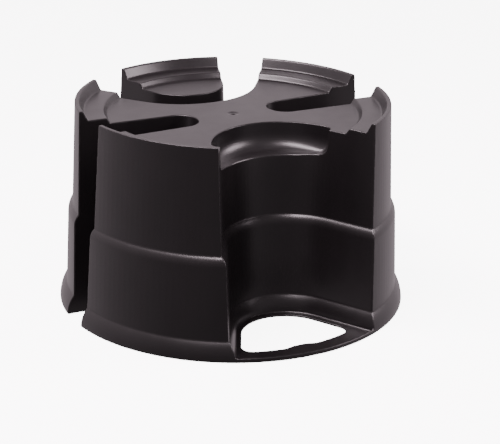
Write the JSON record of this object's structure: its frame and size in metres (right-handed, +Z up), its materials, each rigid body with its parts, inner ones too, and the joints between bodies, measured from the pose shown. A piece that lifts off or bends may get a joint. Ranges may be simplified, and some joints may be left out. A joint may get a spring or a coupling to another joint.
{
  "type": "rain barrel stand",
  "caption": "Round one-piece plastic stand for a rain barrel, with a stepped rimmed seat, side slots, and a front scoop for the tap and watering can.",
  "frame": {"origin": "centre of the ground ring, on the ground", "axes": "+Z up, -Y out of the front scoop, slots along X; the moulding mirrors across X = 0"},
  "size_m": [0.5178, 0.52, 0.306],
  "materials": {
    "black_polypropylene": "satin black moulded polypropylene, faint fine grain"
  },
  "bodies": {
    "root": {"back_channel_wall": "black_polypropylene", "back_floor_web": "black_polypropylene", "back_left_foot_flare": "black_polypropylene", "back_left_wall_lower": "black_polypropylene", "back_left_wall_upper": "black_polypropylene", "back_right_foot_flare": "black_polypropylene", "back_right_wall_lower": "black_polypropylene", "back_right_wall_upper": "black_polypropylene", "deck": "black_polypropylene", "front_floor_web": "black_polypropylene", "front_left_foot_flare": "black_polypropylene", "front_left_wall_lower": "black_polypropylene", "front_left_wall_upper": "black_polypropylene", "front_right_foot_flare": "black_polypropylene", "front_right_wall_lower": "black_polypropylene", "front_right_wall_upper": "black_polypropylene", "front_scoop_foot_flare": "black_polypropylene", "front_scoop_wall_lower": "black_polypropylene", "front_scoop_wall_upper": "black_polypropylene", "front_tap_cove": "black_polypropylene", "gate_vestige": "black_polypropylene", "left_slot_wall": "black_polypropylene", "right_slot_wall": "black_polypropylene", "rim_back_left": "black_polypropylene", "rim_back_right": "black_polypropylene", "rim_front_left": "black_polypropylene", "rim_front_right": "black_polypropylene", "rim_tower": "black_polypropylene", "seat_ledge_back_left": "black_polypropylene", "seat_ledge_back_right": "black_polypropylene", "seat_ledge_front_left": "black_polypropylene", "seat_ledge_front_right": "black_polypropylene", "seat_ledge_tower": "black_polypropylene", "tower_deck": "black_polypropylene", "tower_foot_flare": "black_polypropylene", "tower_side_wall": "black_polypropylene", "tower_wall_lower": "black_polypropylene", "tower_wall_upper": "black_polypropylene"}
  },
  "joints": []
}
